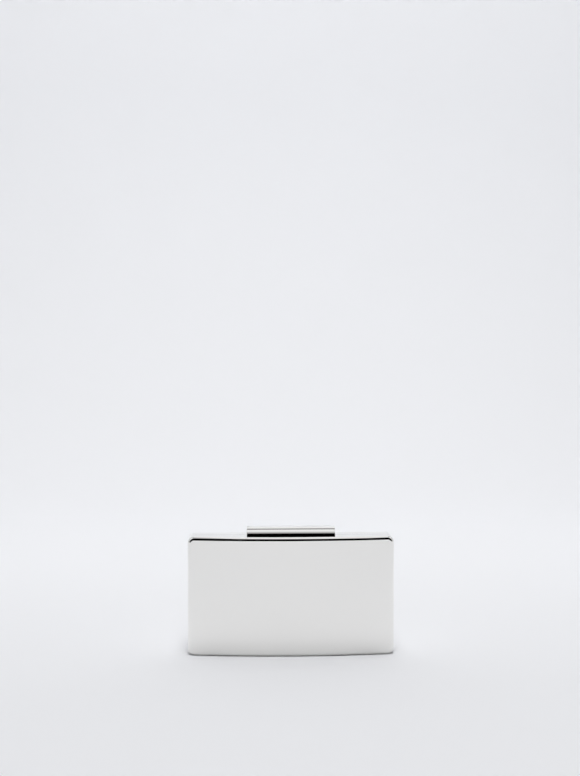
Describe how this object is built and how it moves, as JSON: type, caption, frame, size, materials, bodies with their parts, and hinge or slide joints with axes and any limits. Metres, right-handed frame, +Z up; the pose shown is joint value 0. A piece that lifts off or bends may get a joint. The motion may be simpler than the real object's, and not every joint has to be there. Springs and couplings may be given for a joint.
{
  "type": "clutch bag",
  "caption": "Hard-shell box clutch: a bowed metal front half hinged along the base of a flat-backed rear half, closed by a domed bar clasp on top.",
  "frame": {"origin": "on the surface that the case stands on, under the middle of its box", "axes": "+X along the width to the right as seen from the front, -Y out of the bowed front face, +Z up to the clasp"},
  "size_m": [0.18, 0.038, 0.1116],
  "materials": {
    "polished_metal": "mirror-polished nickel plate",
    "frame_metal": "satin nickel plate",
    "steel": "bright drawn steel",
    "lining_cloth": "short-pile suede cloth over card"
  },
  "bodies": {
    "rear_half": {"rear_shell": "polished_metal", "rear_frame": "frame_metal", "rear_hinge_leaf": "frame_metal", "hinge_pin": "steel", "rear_leaf_rivets": "frame_metal", "clasp_bracket": "frame_metal", "bracket_rivets": "frame_metal", "pivot_pins": "steel", "clasp_spring": "steel", "spring_rivet": "frame_metal", "chain_eye_left": "frame_metal", "chain_eye_right": "frame_metal", "rear_lining_strip": "lining_cloth", "rear_lining_panel": "lining_cloth"},
    "front_half": {"front_shell": "polished_metal", "front_frame": "frame_metal", "front_lining_strip": "lining_cloth", "front_lining_panel": "lining_cloth", "front_hinge_leaf": "frame_metal", "front_leaf_rivets": "frame_metal", "front_bar": "polished_metal", "keeper_plate": "frame_metal", "keeper_rivets": "frame_metal"},
    "cap": {"clasp_cap": "polished_metal", "latch_plate": "frame_metal"}
  },
  "joints": [
    {"name": "body_hinge", "type": "hinge", "parent": "rear_half", "child": "front_half", "pos_m": [0, 0.001, 0.0024], "axis": [1, 0, 0], "range_deg": [0, 90]},
    {"name": "cap_rock", "type": "hinge", "parent": "rear_half", "child": "cap", "pos_m": [0, 0.0065, 0.1062], "axis": [-1, 0, 0], "range_deg": [0, 10], "stiffness_Nm_per_rad": 0.3, "springref_deg": -5.73, "deforming": ["clasp_spring"]}
  ]
}
